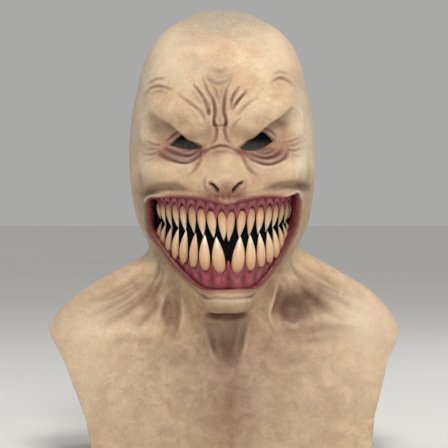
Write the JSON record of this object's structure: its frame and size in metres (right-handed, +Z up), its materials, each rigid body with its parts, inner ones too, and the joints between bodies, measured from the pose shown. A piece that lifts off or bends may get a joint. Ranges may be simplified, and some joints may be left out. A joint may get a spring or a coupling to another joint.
{
  "type": "latex halloween mask",
  "caption": "Over-the-head latex creature mask with a gaping fanged mouth, slanted eye slits, a shoulder and chest bib and a zipped slit down the back.",
  "frame": {"origin": "on the floor at hem level, under the middle of the mask's bounding box", "axes": "+Z up to the crown; the face looks along -Y; +X is to the right of a viewer who faces the mask, and left and right in node names are that viewer's"},
  "size_m": [0.362, 0.2233, 0.46],
  "materials": {
    "latex": "painted matte latex, yellow tan with grey and pink mottling",
    "gum": "wet-look gloss",
    "fang": "satin, ivory with darker roots",
    "scrim": "open woven mesh",
    "foam": "soft open-cell foam",
    "tape": "woven twill",
    "chain": "moulded",
    "zip_metal": "plated, slightly worn"
  },
  "bodies": {
    "mask": {"latex_skin": "latex", "upper_gum": "gum", "lower_gum": "gum", "mouth_scrim": "scrim", "left_eye_scrim": "scrim", "right_eye_scrim": "scrim", "crown_pad": "foam", "left_temple_pad": "foam", "right_temple_pad": "foam", "upper_fang_left_1": "fang", "upper_fang_left_2": "fang", "upper_fang_left_3": "fang", "upper_fang_left_4": "fang", "upper_fang_left_5": "fang", "upper_fang_left_6": "fang", "upper_fang_left_7": "fang", "upper_fang_left_8": "fang", "upper_fang_left_9": "fang", "upper_fang_right_1": "fang", "upper_fang_right_2": "fang", "upper_fang_right_3": "fang", "upper_fang_right_4": "fang", "upper_fang_right_5": "fang", "upper_fang_right_6": "fang", "upper_fang_right_7": "fang", "upper_fang_right_8": "fang", "upper_fang_right_9": "fang", "lower_fang_left_1": "fang", "lower_fang_left_2": "fang", "lower_fang_left_3": "fang", "lower_fang_left_4": "fang", "lower_fang_left_5": "fang", "lower_fang_left_6": "fang", "lower_fang_left_7": "fang", "lower_fang_left_8": "fang", "lower_fang_right_1": "fang", "lower_fang_right_2": "fang", "lower_fang_right_3": "fang", "lower_fang_right_4": "fang", "lower_fang_right_5": "fang", "lower_fang_right_6": "fang", "lower_fang_right_7": "fang", "lower_fang_right_8": "fang", "left_zip_tape": "tape", "right_zip_tape": "tape", "left_zip_chain": "chain", "right_zip_chain": "chain", "zip_end_stops": "zip_metal"},
    "slider": {"zip_slider": "zip_metal"},
    "pull_tab": {"zip_pull_tab": "zip_metal"}
  },
  "joints": [
    {"name": "zip_slide", "type": "slide", "parent": "mask", "child": "slider", "axis": [0, -0.158, 0.9874], "range_m": [0, 0.155]},
    {"name": "pull_tab_swing", "type": "hinge", "parent": "slider", "child": "pull_tab", "pos_m": [0, 0.10528, 0.04722], "axis": [1, 0, 0], "range_deg": [0, 165]}
  ]
}
